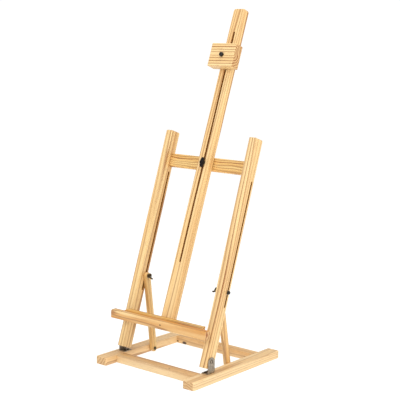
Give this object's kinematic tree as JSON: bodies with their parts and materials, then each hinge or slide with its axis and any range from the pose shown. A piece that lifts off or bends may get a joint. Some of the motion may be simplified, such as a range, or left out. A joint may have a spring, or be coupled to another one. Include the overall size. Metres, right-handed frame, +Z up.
{
  "type": "tabletop h frame easel",
  "caption": "Folding tabletop easel: raked H shaped wooden frame on a flat base, sliding slotted mast with tray and top clamp, held by struts with wing nuts.",
  "frame": {"origin": "on the table under the front base crossbar, midway between the two base rails", "axes": "+X to the right seen from the front, +Y to the rear, +Z up; the easel faces -Y"},
  "size_m": [0.332, 0.389, 0.9312],
  "materials": {
    "pine": "sanded natural pine, thin clear lacquer",
    "beech": "plain turned dowel",
    "bracket_steel": "dull zinc plated steel",
    "dark_steel": "darkened steel",
    "bolt_steel": "zinc plated steel",
    "black_steel": "black",
    "black_plastic": "glossy black"
  },
  "bodies": {
    "base": {"rail_left": "pine", "rail_right": "pine", "front_crossbar": "pine", "rear_crossbar": "pine", "base_dowels": "beech", "bracket_left": "bracket_steel", "bracket_right": "bracket_steel", "bracket_screws": "dark_steel", "hinge_screw_left": "bracket_steel", "hinge_screw_right": "bracket_steel", "strut_screw_left": "dark_steel", "strut_screw_right": "dark_steel"},
    "frame": {"upright_left": "pine", "upright_right": "pine", "upper_crossbar": "pine", "lower_crossbar": "pine", "frame_dowels": "beech", "mast_bolt": "bolt_steel", "mast_washer": "bolt_steel"},
    "mast_and_tray": {"mast": "pine", "tray_ledge": "pine", "tray_lip": "pine", "tray_dowels": "beech", "tray_screws": "dark_steel"},
    "top_clamp": {"clamp_block": "pine", "clamp_bolt": "black_steel", "clamp_washer": "bolt_steel"},
    "mast_knob": {"mast_knob": "black_plastic"},
    "clamp_wing_nut": {"clamp_wing_nut": "dark_steel"},
    "strut_left": {"strut_left": "pine", "slot_bolt_end_left": "bolt_steel", "strut_washer_left": "bolt_steel"},
    "strut_right": {"strut_right": "pine", "slot_bolt_end_right": "bolt_steel", "strut_washer_right": "bolt_steel"},
    "slot_bolt_left": {"slot_bolt_left": "black_steel", "slot_washer_left": "bolt_steel"},
    "slot_bolt_right": {"slot_bolt_right": "black_steel", "slot_washer_right": "bolt_steel"},
    "wing_nut_left": {"wing_nut_left": "dark_steel"},
    "wing_nut_right": {"wing_nut_right": "dark_steel"}
  },
  "joints": [
    {"name": "frame_tilt", "type": "hinge", "parent": "base", "child": "frame", "pos_m": [0, 0.02828, 0.05167], "axis": [-1, 0, 0], "range_deg": [-10, 69.5]},
    {"name": "mast_slide", "type": "slide", "parent": "frame", "child": "mast_and_tray", "axis": [0, 0.3346, 0.9423], "range_m": [-0.03, 0.255]},
    {"name": "clamp_slide", "type": "slide", "parent": "mast_and_tray", "child": "top_clamp", "axis": [0, 0.3346, 0.9423], "range_m": [-0.2, 0.066]},
    {"name": "mast_knob_turn", "type": "hinge", "parent": "frame", "child": "mast_knob", "pos_m": [0, 0.16903, 0.52862], "axis": [0, -0.9489, 0.3156], "continuous": true},
    {"name": "clamp_nut_turn", "type": "hinge", "parent": "top_clamp", "child": "clamp_wing_nut", "pos_m": [0, 0.26662, 0.80013], "axis": [0, -0.9423, 0.3346], "continuous": true},
    {"name": "strut_left_swing", "type": "hinge", "parent": "base", "child": "strut_left", "pos_m": [-0.1235, 0.121, 0.0104], "axis": [-1, 0, 0], "range_deg": [-12.45, 85.91]},
    {"name": "slot_bolt_left_slide", "type": "slide", "parent": "frame", "child": "slot_bolt_left", "axis": [0, 0.3156, 0.9489], "range_m": [-0.0177, 0.1202]},
    {"name": "wing_nut_left_turn", "type": "hinge", "parent": "strut_left", "child": "wing_nut_left", "pos_m": [-0.115, 0.09143, 0.21772], "axis": [1, 0, 0], "continuous": true},
    {"name": "strut_right_swing", "type": "hinge", "parent": "base", "child": "strut_right", "pos_m": [0.1235, 0.132, 0.0104], "axis": [-1, 0, 0], "range_deg": [-12.87, 88.84]},
    {"name": "slot_bolt_right_slide", "type": "slide", "parent": "frame", "child": "slot_bolt_right", "axis": [0, 0.3156, 0.9489], "range_m": [-0.0196, 0.133]},
    {"name": "wing_nut_right_turn", "type": "hinge", "parent": "strut_right", "child": "wing_nut_right", "pos_m": [0.115, 0.09143, 0.21772], "axis": [1, 0, 0], "continuous": true}
  ],
  "couplings": [
    {"joint": "strut_left_swing", "follows": "frame_tilt", "ratio": 1.2346},
    {"joint": "slot_bolt_left_slide", "follows": "frame_tilt", "m_per_rad": 0.09872},
    {"joint": "strut_right_swing", "follows": "frame_tilt", "ratio": 1.2768},
    {"joint": "slot_bolt_right_slide", "follows": "frame_tilt", "m_per_rad": 0.10926}
  ]
}
